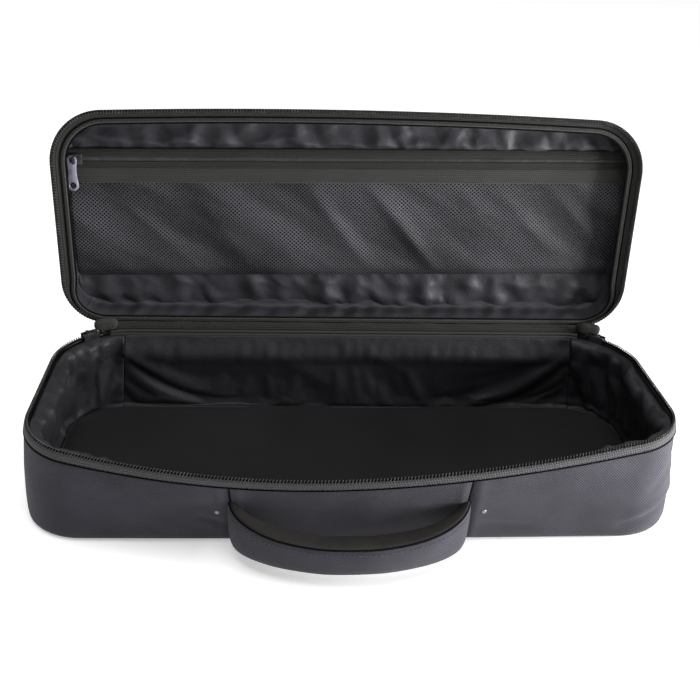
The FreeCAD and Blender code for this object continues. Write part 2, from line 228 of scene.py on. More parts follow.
# ------------------------------------------------------------------ meshes
def lay_out(grid):
    """Distances along and across a grid, in millimetres, for its weave."""
    along = np.linalg.norm(np.diff(grid, axis=0), axis=2).mean(1)
    across = np.linalg.norm(np.diff(grid, axis=1), axis=2).mean(0)
    u = np.concatenate([[0], np.cumsum(along)])
    v = np.concatenate([[0], np.cumsum(across)])
    return np.stack(np.meshgrid(u, v, indexing="ij"), -1)


def build(name, points, faces, finish, weave=None):
    mesh = bpy.data.meshes.new(name)
    mesh.from_pydata((np.asarray(points) * MM).tolist(), [], faces)
    mesh.update()
    if weave is not None:
        spot = mesh.attributes.new("weave", "FLOAT_VECTOR", "POINT")
        flat = np.column_stack([weave, np.zeros(len(weave))]).astype(np.float32)
        spot.data.foreach_set("vector", flat.ravel())
    mesh.polygons.foreach_set("use_smooth", [True] * len(mesh.polygons))
    mesh.materials.append(finish)
    piece = bpy.data.objects.new(name, mesh)
    scene.collection.objects.link(piece)
    return piece


def skin(name, grid, finish, wrap=False):
    """One layer of cloth over a grid of points (along, across, 3)."""
    n, m = grid.shape[:2]
    faces = []
    for i in range(n if wrap else n - 1):
        j = (i + 1) % n
        faces += [(i * m + k, j * m + k, j * m + k + 1, i * m + k + 1) for k in range(m - 1)]
    return build(name, grid.reshape(-1, 3), faces, finish, lay_out(grid).reshape(-1, 2))


def thicken(piece, thick, smoothing=0):
    """Gives a layer its thickness, half to each side, after this many rounds of smoothing."""
    if smoothing:
        piece.modifiers.new("round", "SUBSURF").levels = smoothing
        piece.modifiers["round"].render_levels = smoothing
    layer = piece.modifiers.new("thickness", "SOLIDIFY")
    layer.thickness, layer.offset = thick * MM, 0.0
    return piece


def tube(name, path, radius, finish, sides=6, closed=False):
    """A round wire along a path, its ends closed."""
    path = np.asarray(path, float)
    ahead = np.gradient(path, axis=0)
    if closed:
        ahead = np.roll(path, -1, 0) - np.roll(path, 1, 0)
    ahead /= np.linalg.norm(ahead, axis=1)[:, None]
    side = np.cross(ahead, (0.13, 0.31, 0.94))
    side /= np.linalg.norm(side, axis=1)[:, None]
    over = np.cross(side, ahead)
    turn = np.arange(sides) * 2 * math.pi / sides
    radius = np.broadcast_to(radius, len(path))[:, None, None]
    ring = side[:, None] * np.cos(turn)[None, :, None] + over[:, None] * np.sin(turn)[None, :, None]
    points = path[:, None] + ring * radius
    n = len(path)
    faces = []
    for i in range(n if closed else n - 1):
        j = (i + 1) % n
        faces += [(i * sides + k, i * sides + (k + 1) % sides, j * sides + (k + 1) % sides, j * sides + k)
                  for k in range(sides)]
    if not closed:
        faces += [tuple(range(sides))[::-1], tuple((n - 1) * sides + k for k in range(sides))]
    return build(name, points.reshape(-1, 3), faces, finish)


def joined(name, pieces):
    """Several meshes as one piece."""
    whole = bmesh.new()
    for piece in pieces:
        whole.from_mesh(piece.data)
    mesh = pieces[0].data
    whole.to_mesh(mesh)
    whole.free()
    for piece in pieces[1:]:
        bpy.data.objects.remove(piece)
    pieces[0].name = mesh.name = name
    return pieces[0]


def even(path, step):
    """The same line with points this far apart, and their distance along it."""
    path = np.asarray(path, float)
    along = np.concatenate([[0], np.cumsum(np.linalg.norm(np.diff(path, axis=0), axis=1))])
    at = np.arange(0, along[-1], step)
    return np.stack([np.interp(at, along, path[:, k]) for k in range(3)], 1), at


def coil(name, path, across, high, upright, wire, pitch, finish, start=0.0):
    """A sewn zip coil: one thread wound along the path, its loops this far across and this high."""
    line, at = even(path, pitch / 12)
    ahead = np.gradient(line, axis=0)
    ahead /= np.linalg.norm(ahead, axis=1)[:, None]
    side = np.cross(ahead, upright)
    side /= np.linalg.norm(side, axis=1)[:, None]
    over = np.cross(side, ahead)
    turn = (2 * math.pi * at / pitch + start)[:, None]
    wound = line + side * across * np.cos(turn) + over * high * np.sin(turn)
    return tube(name, wound, wire, finish, 6)


def stitches(name, path, finish, length=3.0, gap=1.3, radius=0.3):
    """A row of thread stitches standing along a line."""
    parts = []
    line, at = even(path, 0.5)
    period = length + gap
    for first in np.arange(0, at[-1] - length, period):
        inside = line[(at >= first) & (at <= first + length)]
        if len(inside) < 4:
            continue
        swell = np.sin(np.linspace(0.25, math.pi - 0.25, len(inside)))
        keep = np.linspace(0, len(inside) - 1, 5).astype(int)
        parts.append(tube("stitch", inside[keep], (radius * swell ** 0.5)[keep], finish, 5))
    return joined(name, parts)


def relax(piece, held, grow, behind, reach, give=1.0):
    """Lets slack cloth buckle between the lines where it is sewn down, hardly towards what lies behind it."""
    frames = 22
    rest = np.array([v.co for v in piece.data.vertices])
    group = piece.vertex_groups.new(name="held")
    group.add([int(i) for i in held], 1.0, "REPLACE")
    cloth = piece.modifiers.new("cloth", "CLOTH")
    settings = cloth.settings
    settings.quality = 6
    settings.mass = 0.12
    settings.tension_stiffness = settings.compression_stiffness = 12
    settings.shear_stiffness = 4
    settings.bending_stiffness = 0.6
    settings.vertex_group_mass = "held"
    settings.shrink_min = -grow
    settings.effector_weights.gravity = 0.25
    cloth.point_cache.frame_start, cloth.point_cache.frame_end = 1, frames
    for moment in range(1, frames + 1):
        scene.frame_set(moment)
    hung = piece.evaluated_get(bpy.context.evaluated_depsgraph_get())
    found = np.array([v.co for v in hung.data.vertices])
    move = found - rest
    size = np.linalg.norm(move, axis=1)[:, None]
    move *= np.minimum(1, reach * MM / np.maximum(size, 1e-9))
    behind = np.broadcast_to(behind, move.shape)
    deep = (move * behind).sum(1)[:, None]
    move -= behind * np.maximum(deep - give * MM, 0)
    piece.modifiers.remove(cloth)
    scene.frame_set(1)
    piece.data.vertices.foreach_set("co", (rest + move).astype(np.float32).ravel())
    piece.data.update()
    piece.vertex_groups.clear()
    return piece


# ------------------------------------------------------------------ finishes
class Wire:
    """A socket with a number on it. Sums written on it add Math nodes."""

    def __init__(self, finish, socket):
        self.finish, self.socket = finish, socket

    def math(self, operation, *others, **settings):
        return self.finish.add("ShaderNodeMath", {"operation": operation, **settings}, [self, *others])

    def __add__(self, other): return self.math("ADD", other)
    def __radd__(self, other): return self.math("ADD", other)
    def __sub__(self, other): return self.math("SUBTRACT", other)
    def __rsub__(self, other): return self.finish.number(other).math("SUBTRACT", self)
    def __mul__(self, other): return self.math("MULTIPLY", other)
    def __rmul__(self, other): return self.math("MULTIPLY", other)
    def __pow__(self, other): return self.math("POWER", other)

    def sin(self): return self.math("SINE")
    def abs(self): return self.math("ABSOLUTE")
    def floor(self): return self.math("FLOOR")
    def least(self, other): return self.math("MINIMUM", other)
    def clip(self): return self.math("ADD", 0.0, use_clamp=True)

    def between(self, low, high, out_low=0.0, out_high=1.0):
        return self.finish.add("ShaderNodeMapRange", {"interpolation_type": "SMOOTHSTEP"},
                               {"Value": self, "From Min": low, "From Max": high,
                                "To Min": out_low, "To Max": out_high})


class Finish:
    """The nodes of one material, made here by name, or of a world."""

    def __init__(self, owner):
        self.owner = bpy.data.materials.new(owner) if isinstance(owner, str) else owner
        self.owner.use_nodes = True
        self.tree = self.owner.node_tree
        self.tree.nodes.clear()

    def add(self, kind, settings=None, sockets=None, output=0):
        node = self.tree.nodes.new(kind)
        for key, value in (settings or {}).items():
            setattr(node, key, value)
        items = sockets.items() if isinstance(sockets, dict) else enumerate(sockets or [])
        for key, value in items:
            if isinstance(value, Wire):
                self.tree.links.new(value.socket, node.inputs[key])
            elif value is not None:
                node.inputs[key].default_value = value
        return Wire(self, node.outputs[output]) if node.outputs else node

    def number(self, value):
        return self.add("ShaderNodeMath", {"operation": "ADD"}, [value, 0.0])

    def weave(self):
        """Distance along and across the cloth, in millimetres."""
        spot = self.add("ShaderNodeAttribute", {"attribute_name": "weave"}, output="Vector")
        return self.split(spot)[:2] + (spot,)

    def place(self):
        """Place in the piece's own frame, in millimetres."""
        spot = self.add("ShaderNodeTexCoord", output="Object")
        return self.add("ShaderNodeVectorMath", {"operation": "SCALE"}, {0: spot, "Scale": 1000.0})

    def split(self, vector):
        node = self.add("ShaderNodeSeparateXYZ", None, [vector]).socket.node
        return tuple(Wire(self, node.outputs[k]) for k in range(3))

    def join(self, x, y, z=0.0):
        return self.add("ShaderNodeCombineXYZ", None, [x, y, z])

    def noise(self, vector, scale, detail=3.0, rough=0.55):
        return self.add("ShaderNodeTexNoise", None,
                        {"Vector": vector, "Scale": scale, "Detail": detail, "Roughness": rough})

    def blend(self, share, low, high):
        sockets = {0: share, 6: (*low, 1) if isinstance(low, tuple) else low,
                   7: (*high, 1) if isinstance(high, tuple) else high}
        return self.add("ShaderNodeMix", {"data_type": "RGBA"}, sockets, output=2)

    def bump(self, height, depth, strength=1.0):
        return self.add("ShaderNodeBump", None,
                        {"Strength": strength, "Distance": depth * MM, "Height": height})

    def done(self, fixed=None, **varying):
        sockets = {key.replace("_", " "): value for key, value in varying.items()}
        shader = self.add("ShaderNodeBsdfPrincipled", None, {**(fixed or {}), **sockets})
        self.add("ShaderNodeOutputMaterial", None, [shader])
        return self.owner


def outer_fabric():
    """Coarse coated polyester in a fine slanting weave, rubbed paler here and there."""
    f = Finish("outer_fabric")
    u, v, spot = f.weave()
    pitch = 2 * math.pi / 2.0
    slant, cross = ((u + v) * pitch).sin(), ((u * 0.9 - v) * pitch * 1.2).sin()
    thread = slant * 0.5 + cross * 0.35
    patch = f.noise(spot, 0.02, 3.0)
    fuzz = f.noise(spot, 1.6, 4.0, 0.7)
    tone = (thread * 0.55 + 0.40 + (fuzz - 0.5) * 1.3 + (patch - 0.5) * 0.7).clip()
    colour = f.blend(tone, (0.0078, 0.0071, 0.0106), (0.058, 0.0545, 0.071))
    return f.done({"Sheen Weight": 0.06, "Sheen Roughness": 0.5, "Specular IOR Level": 0.16},
                  Base_Color=colour, Roughness=0.78 - thread * 0.1,
                  Normal=f.bump(thread + fuzz * 0.7, 0.22, 0.7))


def satin(name, dark, light, rough=0.42):
    """Smooth nylon lining: fine threads, a soft shine and small creases."""
    f = Finish(name)
    u, v, spot = f.weave()
    fine = ((u * 7.5).sin() * 0.5 + (v * 6.1).sin() * 0.5)
    crease = (f.noise(spot, 0.11, 4.0, 0.6) - 0.5).abs() * 2.0
    small = f.noise(spot, 0.35, 3.0)
    tone = (f.noise(spot, 0.03, 2.0) + small * 0.3 - 0.25).clip()
    colour = f.blend(tone, dark, light)
    height = crease ** 0.7 * 1.2 + small * 0.2 + fine * 0.05
    return f.done({"Specular IOR Level": 0.24, "Anisotropic": 0.2},
                  Base_Color=colour, Roughness=(small * 0.14 + rough).clip(), Normal=f.bump(height, 0.5, 0.4))


def floor_cloth():
    """Dull brushed cloth, darker in patches."""
    f = Finish("floor_cloth")
    spot = f.weave()[2]
    fuzz = f.noise(spot, 1.4, 5.0, 0.7)
    patch = f.noise(spot, 0.012, 3.0)
    colour = f.blend((fuzz * 0.5 + patch * 0.6 - 0.1).clip(), (0.008, 0.008, 0.0086), (0.021, 0.021, 0.0228))
    return f.done({"Specular IOR Level": 0.1}, Base_Color=colour,
                  Roughness=0.85 + fuzz * 0.1, Normal=f.bump(fuzz + patch, 0.2, 0.5))


def ribbed_tape(name, dark, light):
    """Woven zip tape: ribs along its length and fine picks across."""
    f = Finish(name)
    u, v, spot = f.weave()
    rib = (v * (2 * math.pi / 1.9)).sin()
    pick = (u * (2 * math.pi / 1.9) + (v * 0.6).floor() * 2.1).sin()
    fuzz = f.noise(spot, 1.2, 3.0)
    tone = (rib * 0.12 + pick * 0.24 + 0.45 + (fuzz - 0.5) * 0.6).clip()
    return f.done({"Sheen Weight": 0.05, "Specular IOR Level": 0.15}, Base_Color=f.blend(tone, dark, light),
                  Roughness=0.8 - rib * 0.06, Normal=f.bump(rib * 0.8 + pick * 0.5, 0.25, 0.8))


def net():
    """Open net of slanting threads; the holes let the lining through in part and are half filled with the
    dark thread colour as painted shade of the lining behind.
    """
    f = Finish("net")
    u, v, spot = f.weave()
    pitch = math.pi / 3.3
    first, second = ((u * 0.93 + v) * pitch).sin().abs(), ((u * 0.93 - v) * pitch).sin().abs()
    thread = 1.0 - first.least(second)
    # the holes stay 45% opaque in the dark thread colour: painted shade of the lining behind
    hole = first.least(second).between(0.46, 0.60)
    fuzz = f.noise(spot, 0.9, 3.0)
    band = f.noise(f.join((u * 0.62 + v) * 0.022, (u - v) * 0.004), 1.0, 2.0).between(0.36, 0.62)
    tone = (thread * 0.75 + fuzz * 0.4 - 0.25) * (band * 0.75 + 0.25)
    colour = f.blend(tone.clip(), (0.008, 0.0078, 0.0092), (0.100, 0.097, 0.111))
    return f.done({"Specular IOR Level": 0.25}, Base_Color=colour, Roughness=0.55 + fuzz * 0.1,
                  Alpha=1.0 - hole * 0.55, Normal=f.bump(thread, 0.4, 0.8))


def plain(name, dark, light, scale, rough, fixed=None, depth=0.05, metallic=None):
    """Moulded, painted or plated finish with faint mottling and rubbed spots."""
    f = Finish(name)
    spot = f.place()
    mottle = f.noise(spot, scale, 4.0)
    rub = f.noise(spot, scale * 0.2, 3.0).between(0.45, 0.7)
    sockets = {"Base_Color": f.blend((mottle * 0.7 + rub * 0.4 - 0.1).clip(), dark, light),
               "Roughness": (mottle * 0.2 + rough - 0.1).clip(), "Normal": f.bump(mottle, depth, 0.6)}
    if metallic is not None:
        sockets["Metallic"] = metallic
    return f.done(fixed or {}, **sockets)


finishes = {
    "outer_fabric": outer_fabric(),
    "lining": satin("satin_lining", (0.008, 0.008, 0.0095), (0.024, 0.0235, 0.028), 0.46),
    "lid_lining": satin("lid_satin", (0.010, 0.0096, 0.012), (0.033, 0.032, 0.039), 0.48),
    "floor": floor_cloth(),
    "tape": ribbed_tape("zip_tape", (0.012, 0.012, 0.0125), (0.098, 0.096, 0.100)),
    "lid_tape": ribbed_tape("lid_tape", (0.006, 0.006, 0.0055), (0.030, 0.030, 0.0275)),
    "binding": ribbed_tape("binding", (0.011, 0.011, 0.010), (0.052, 0.052, 0.048)),
    "coil": plain("coil_nylon", (0.010, 0.010, 0.0095), (0.075, 0.075, 0.072), 0.5, 0.5,
                  {"Specular IOR Level": 0.22}),
    "pocket_coil": plain("pocket_coil_nylon", (0.03, 0.03, 0.031), (0.11, 0.11, 0.112), 0.7, 0.45,
                         {"Specular IOR Level": 0.3}),
    "net": net(),
    "thread": plain("thread", (0.010, 0.010, 0.012), (0.04, 0.039, 0.046), 1.5, 0.6,
                    {"Specular IOR Level": 0.2}),
    "pale_thread": plain("pale_thread", (0.03, 0.029, 0.036), (0.10, 0.096, 0.115), 1.5, 0.55,
                         {"Specular IOR Level": 0.2}),
    # near-black finish for thin lines laid in seams and grooves: painted shade where the cloth turns into
    # them
    "painted_seam_shade": plain("painted_seam_shade", (0.001, 0.001, 0.001), (0.004, 0.004, 0.004), 1.2, 0.8,
                        {"Specular IOR Level": 0.05}),
    "grip_lining": satin("grip_lining", (0.006, 0.0055, 0.0048), (0.024, 0.0225, 0.019), 0.65),
    "enamel": plain("slider_enamel", (0.006, 0.006, 0.007), (0.03, 0.03, 0.034), 0.3, 0.28,
                    {"Specular IOR Level": 0.3}),
    "plated": plain("pull_plating", (0.26, 0.25, 0.31), (0.50, 0.48, 0.58), 0.3, 0.30, None, 0.04, 0.75),
    "rivet": plain("rivet_metal", (0.10, 0.10, 0.105), (0.42, 0.42, 0.44), 0.6, 0.3, None, 0.04, 0.8),
    "foam": plain("foam", (0.02, 0.02, 0.02), (0.05, 0.05, 0.05), 0.8, 0.9, None, 0.3),
    "board": plain("board", (0.03, 0.028, 0.025), (0.07, 0.065, 0.06), 0.2, 0.8),
    "webbing": plain("webbing", (0.015, 0.015, 0.016), (0.04, 0.04, 0.043), 0.9, 0.7, None, 0.2),
}


def dress(piece, body, slot, *nodes):
    """The piece rides on its body and stands for these nodes; slot is not used."""
    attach(piece, body)
    if nodes:
        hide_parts(*nodes)
    return piece


# ------------------------------------------------------------------ base
def crease(x, z, x0, z0, x1, z1, width):
    """1 on a line across the wall, fading out to its sides and its ends."""
    length = math.hypot(x1 - x0, z1 - z0)
    along = ((x - x0) * (x1 - x0) + (z - z0) * (z1 - z0)) / length
    off = ((x - x0) * (z1 - z0) - (z - z0) * (x1 - x0)) / length
    ends = smooth(along, -6, 8) * (1 - smooth(along, length - 8, length + 6))
    return np.exp(-(off / width) ** 2) * ends


def shell_inset(x, y, z):
    """How the outside of the base dips in from its plain shape: soft swells, seams and creases."""
    front = smooth(-y, 20, 80)
    dip = 0.55 * drift(x + 0.7 * y, z, 3, 90) + 0.25 * drift(x - y, z, 4, 30)
    dip -= 1.3 * np.sin(math.pi * np.clip(z / 76, 0, 1)) * (1 - 0.6 * front) * (1 - smooth(y, 10, 45))
    dip += 0.9 * smooth(y, 15, 45) * smooth(z, 30, 55)
    for seam in (SEAM_LEFT, SEAM_RIGHT):
        near = (x - seam) / 2.6
        dip = dip + front * (1.3 * np.exp(-near ** 2) - 0.5 * np.exp(-(abs(near) - 2.6) ** 2))
    dip += front * 2.6 * crease(x, z, 205, 13, 262, 27, 2.6)
    dip -= front * 1.5 * crease(x, z, 210, 20, 262, 35, 4.5)
    dip += front * 1.4 * crease(x, z, -118, 30, -96, 22, 3.0)
    dip += front * 1.2 * crease(x, z, 96, 22, 135, 16, 4.0)
    dip += front * 1.0 * crease(x, z, 225, 40, 262, 70, 5.0)
    return dip


def wall_rows(count):
    """Rows up the outer wall, from its rounded foot to the edge turned in at the rim."""
    foot = 6
    rows = [(0, foot * (1 - math.cos(a)), foot * (1 - math.sin(a))) for a in np.linspace(0, math.pi / 2, 6)]
    rows += [(t, foot * (1 - t) - 1.5 * t, 0.0) for t in np.linspace(0, 1, count)[1:]]
    return rows + [(1, -0.6, 0.1), (1, 0.1, 0.5), (1, 0.35, 1.2)]


def outer_wall(name, start, end, count, node):
    shares = np.linspace(start, end, count)
    grid = base_rows(shares, wall_rows(22))
    dip = shell_inset(grid[..., 0], grid[..., 1], grid[..., 2])
    dip *= smooth(grid[..., 2], 0.5, 9)
    out = rim_plan.at(shares)[1]
    grid[..., :2] -= out[:, None] * dip[..., None]
    piece = skin(name, grid, finishes["outer_fabric"])
    thicken(piece, 1.0)
    return dress(piece, "base", "outer_fabric", node)


def make_base_shell():
    left, right = rim_plan.share_at(SEAM_LEFT), rim_plan.share_at(SEAM_RIGHT)
    panel = outer_wall("front_panel", left, right, 84, "base_front_panel")
    band = outer_wall("outer_band", right, left + 1, 440, "base_outer_band")
    outline = base_rows(np.linspace(0, 1, 700), [(0, 0, 5.4)])[:, 0, :2]
    flat = flat_grid(outline, 45, 9, 24)
    lift = 0.55 + 0.12 * drift(flat[..., 0], flat[..., 1], 8, 60)
    bottom = thicken(skin("bottom_fabric", np.dstack([flat, lift]), finishes["outer_fabric"]), 1.0)
    dress(bottom, "base", "outer_fabric", "base_bottom_fabric")
    welt = base_rows(np.linspace(0, 1, 500), [(0, 1.6, 3.4)])[:, 0]
    welt = tube("bottom_seam_cord", welt[:-1], 1.0, finishes["binding"], 8, True)
    dress(welt, "base", "outer_fabric")
    threads, seams = [], []
    for seam, side in ((SEAM_LEFT, -1), (SEAM_RIGHT, 1)):
        share = rim_plan.share_at(seam + side * 3.2)
        rows = [(t, 4 * (1 - t), 0.0) for t in np.linspace(0.06, 0.95, 40)]
        line = base_rows(np.array([share]), rows)[0]
        line[:, 1] += shell_inset(line[:, 0], line[:, 1], line[:, 2]) - 0.55
        threads.append(stitches("thread", line, finishes["thread"], 2.6, 1.4, 0.28))
        share = rim_plan.share_at(seam)
        rows = [(t, 3 * (1 - t), 0.0) for t in np.linspace(0.02, 0.995, 60)]
        line = base_rows(np.array([share]), rows)[0]
        line[:, 1] += shell_inset(line[:, 0], line[:, 1], line[:, 2]) - 0.35
        # a near-black line down each seam of the front panel: painted shade in the seam's dip
        seams.append(tube("seam", line, 0.8, finishes["painted_seam_shade"], 8))
    dress(joined("panel_seam_shade_lines", seams), "base", "outer_fabric")
    threads = dress(joined("panel_stitches", threads), "base", "outer_fabric")


def make_base_zip():
    shares = np.linspace(-ZIP_END, ZIP_END, 420)
    rows = [(1, -2.4, 1.5), (1, -1.0, 0.7), (1, 0.3, 0.2), (1, 1.4, -0.3), (1, 3.0, -0.4), (1, 4.6, -0.2),
            (1, 5.8, 0.3), (1, 6.6, 0.9), (1, 7.0, 1.7)]
    grid = base_rows(shares, rows)
    grid[..., 2] += 0.15 * drift(grid[..., 0] + grid[..., 1], grid[..., 2], 12, 25)
    tape = thicken(skin("zip_tape", grid, finishes["tape"]), 0.8)
    dress(tape, "base", "webbing", "base_zip_tape")
    fine = np.linspace(-ZIP_END, ZIP_END, 1500)
    line = base_rows(fine, [(1, 7.9, 1.5)])[:, 0]
    teeth = coil("base_coil_teeth", line, 0.95, 1.5, (0, 0, 1), 0.46, TOOTH_PITCH, finishes["coil"])
    dress(teeth, "base", "coil", "base_zip_coil")
    # a near-black line along the coil: painted shade between coil and tape
    cord = base_rows(fine[::3], [(1, 7.5, 2.2)])[:, 0]
    dress(tube("zip_coil_shade_line", cord, 1.0, finishes["painted_seam_shade"], 6), "base", "coil")
    # a near-black line round the rim seam: painted shade in the groove below the zip
    groove = base_rows(np.linspace(0, 1, 900, endpoint=False), [(1, -0.1, -0.4)])[:, 0]
    dress(tube("rim_seam_shade_line", groove, 0.85, finishes["painted_seam_shade"], 8, True), "base", "outer_fabric")
    seam = base_rows(np.linspace(-ZIP_END, ZIP_END, 900), [(1, 1.5, -0.80)])[:, 0]
    dress(stitches("zip_stitches", seam, finishes["thread"], 2.4, 1.2, 0.22), "base", "webbing")


def lining_rows(back):
    top = [(1, 0.5, 2.9), (1, 2.6, 3.3), (1, 4.4, 4.4), (1, 5.2, 6.2), (1, 4.9, 8.2), (1, 3.2, 10.0),
           (1, 0.4, 11.0), (1, -3, 11.0), (1, -7, 10.3), (1, -11, 9.4)]
    if back:
        top = [(1, 3.4, 3.6), (1, 3.9, 4.6), (1, 3.0, 5.8), (1, 0.6, 6.9), (1, -3, 8.4), (1, -7, 10.4),
               (1, -11, 11.8), (1, -14.5, 11.6), (1, -18, 10.2)]
    start = -top[-1][1] / 76
    wall = [(1 - t, 10.5 * smooth(t, 0.5, 1.0),
             8.8 - 1.6 * smooth(t, start, 0.5) + 2.2 * smooth(t, 0.82, 1.0))
            for t in np.linspace(start + 0.04, 0.995, 19)]
    return top + wall + [(0, 9.6, 12.0), (0, 9.2, 14.0)]


def make_lining(name, start, end, seed, node, grow=0.045):
    """One wall of the lining, gathered between its seams and slack over the foam."""
    back = "back" in name
    step = 3.0
    length = np.linalg.norm(np.diff(rim_plan.at(np.linspace(start, end, 200))[0], axis=0), axis=1).sum()
    shares = np.linspace(start, end, int(length / step))
    grid = base_rows(shares, lining_rows(back))
    weave = lay_out(grid)
    u, v = weave[..., 0], weave[..., 1]
    high = v.max()
    loose = smooth(v, 3, 14) * (1 - smooth(v, high - 9, high - 2))
    if back:
        gather = np.exp(-((v - 10) / 9) ** 2)
        push = 1.1 * gather * drift(u, v, seed, 13, 3) + 1.0 * drift(u * 0.5, v, seed + 1, 60)
        push += 1.2 * folds(u * 0.6 + v * 0.8, v, seed + 2, 90) + 0.8 * crease(u, v, 20, 30, 140, 62, 5)
    else:
        push = 3.2 * folds(u, v, seed, 30, 7) + 1.2 * drift(u, v, seed + 1, 18, 2.5)
    push = push * loose
    out = rim_plan.at(shares)[1]
    grid[..., :2] -= out[:, None] * push[..., None]
    piece = skin(name, grid, finishes["lining"])
    n, m = grid.shape[:2]
    index = np.arange(n * m).reshape(n, m)
    held = np.unique(np.concatenate([index[:, :2].ravel(), index[:, -2:].ravel(), index[0], index[-1]]))
    behind = np.column_stack([np.repeat(out, m, axis=0), np.zeros(n * m)])
    relax(piece, held, grow, behind, reach=5.0)
    thicken(piece, 0.5, 1)
    dress(piece, "base", "lining", node)


def make_base_pads():
    rows = [(0, 4.5, 3.6)] + [(t, 6 * (1 - t), 3.6) for t in np.linspace(0, 0.95, 12)[1:]]
    for side, (start, end) in PAD_SPANS.items():
        shares = np.linspace(start, end, int((end - start) * 300))
        piece = thicken(skin(side + "_wall_foam", base_rows(shares, rows), finishes["foam"]), 3.4)
        dress(piece, "base", "foam", "base_foam_" + side)


def make_base_inside():
    make_base_pads()
    back_right = rim_plan.share_at(LINING_SEAM_RIGHT, False)
    back_left = rim_plan.share_at(LINING_SEAM_LEFT, False)
    make_lining("back_lining", back_right, back_left, 21, "base_lining_back", 0.02)
    make_lining("right_lining", 0.165, back_right, 31, "base_lining_right")
    make_lining("left_lining", back_left, 0.835, 41, "base_lining_left")
    make_lining("front_lining", -0.165, 0.165, 51, "base_lining_front")
    outline = base_rows(np.linspace(0, 1, 700), [(0, 9.0, 9.0)])[:, 0, :2]
    flat = flat_grid(outline, 40, 5, 42)
    u, v = flat[..., 0], flat[..., 1]
    lift = 8.9 + 0.30 * drift(u, v, 61, 120) + 0.15 * drift(u, v, 62, 35)
    edge = np.minimum(np.linspace(0, 1, v.shape[1]), np.linspace(1, 0, v.shape[1])) * 170
    lift = lift + 0.9 * np.exp(-((edge - 9) / 5) ** 2)[None, :]
    lift = lift - 0.6 * np.exp(-((edge - 2) / 3) ** 2)[None, :]
    piece = thicken(skin("floor_lining", np.dstack([flat, lift]), finishes["floor"]), 0.8, 1)
    dress(piece, "base", "lining", "base_floor_lining")


def make_side_tabs():
    for side, share, name in ((1, 0.2655, "right_side_tab"), (-1, 0.7345, "left_side_tab")):
        low, high = (42, 77) if side > 0 else (28, 44)
        shares = np.linspace(share - 0.012, share + 0.012, 22)
        rows = []
        for t in np.linspace(0, 1, 22):
            swell = 7.6 if side > 0 else 4.2 * math.sin(math.pi * t) ** 0.5 + 0.4
            rows.append((0, low + (high - low) * t, -swell * min(1, 14 * t + 0.1, 14 * (1 - t) + 0.1)))
        grid = base_rows(shares, rows)
        piece = thicken(skin(name + "_webbing", grid, finishes["binding"]), 1.4)
        dress(piece, "base", "webbing", name)


def dome(name, centre, radius, height, finish):
    """A low domed rivet head facing the front, with a rolled edge."""
    profile = [(0.05, 1.0), (0.35, 0.97), (0.62, 0.86), (0.82, 0.66),
               (0.95, 0.40), (1.0, 0.15), (0.98, -0.1), (0.8, -0.3)]
    turn = np.linspace(0, 2 * math.pi, 24, endpoint=False)
    grid = np.array([[(centre[0] + radius * r * math.cos(a), centre[1] - height * h,
                       centre[2] + radius * r * math.sin(a)) for r, h in profile] for a in turn])
    n, m = grid.shape[:2]
    faces = [(i * m + k, ((i + 1) % n) * m + k, ((i + 1) % n) * m + k + 1, i * m + k + 1)
             for i in range(n) for k in range(m - 1)]
    faces += [tuple(i * m for i in range(n))[::-1], tuple(i * m + m - 1 for i in range(n))]
    return build(name, grid.reshape(-1, 3), faces, finish)


def make_rivets():
    heads = []
    for x in (-104.0, 97.0):
        spot = base_rows(np.array([rim_plan.share_at(x)]), [(0, 37, 0)])[0, 0]
        spot[1] += shell_inset(*spot) - 0.4
        heads.append(dome("head", spot, 2.0, 1.2, finishes["rivet"]))
    dress(joined("handle_rivet_heads", heads), "base", "rivet_metal", "handle_rivets")


# ------------------------------------------------------------------ handle
GRIP_MIDDLE, GRIP_HALF, GRIP_ROOT, GRIP_REACH = -5.0, 88.5, -99.0, 46.5


def grip_section(share, thin=0.0):
    """Corners of the grip's section, as (outward, height): front top and bottom, back bottom and top."""
    end = abs(share) ** 2.4
    high = 40.5 + 11.0 * end - thin
    low = 12.0 - 6.5 * end + thin
    thick = (18 - thin * 1.6) * (1 - 0.84 * end)
    lean = 6.5 * (1 - end)
    outer_high, outer_low = lean - thin, -thin
    return [(outer_high, high), (outer_low, low),
            (outer_high - thick + 2, low + 5), (outer_high - thick, high - 1.5)]


def grip_strip(sides, thin=0.0, bow=1.3, pinch=0.9):
    """The grip's cloth over some of its sides, each swelling between its edges."""
    grid = []
    for share in np.linspace(-1, 1, 110):
        turn = share * math.pi / 2
        corners = grip_section(share, thin)
        centre = np.mean(corners, axis=0)
        line = []
        for i, side in enumerate(sides):
            a, b = np.array(corners[side]), np.array(corners[(side + 1) % 4])
            along = np.linspace(0, 1, 9)[(1 if i else 0):, None]
            middle = a * (1 - along) + b * along
            outward = np.array([(b - a)[1], -(b - a)[0]]) / max(np.linalg.norm(b - a), 1e-6)
            outward *= np.sign(outward @ ((a + b) / 2 - centre)) or 1
            swell = bow * np.sin(math.pi * along) ** 0.6 - pinch * (along < 0.01) - pinch * (along > 0.99)
            line.append(middle + outward * swell)
        line = np.concatenate(line)
        across, up = math.sin(turn), math.cos(turn)
        x = GRIP_MIDDLE + (GRIP_HALF + line[:, 0] * 0.9) * across
        y = GRIP_ROOT - (GRIP_REACH + line[:, 0]) * up
        grid.append(np.column_stack([x, y, line[:, 1]]))
    grid = np.array(grid)
    tail = grid[[0, -1]].copy()
    tail[:, :, 1] += 4.5
    return np.concatenate([tail[:1], grid, tail[1:]])


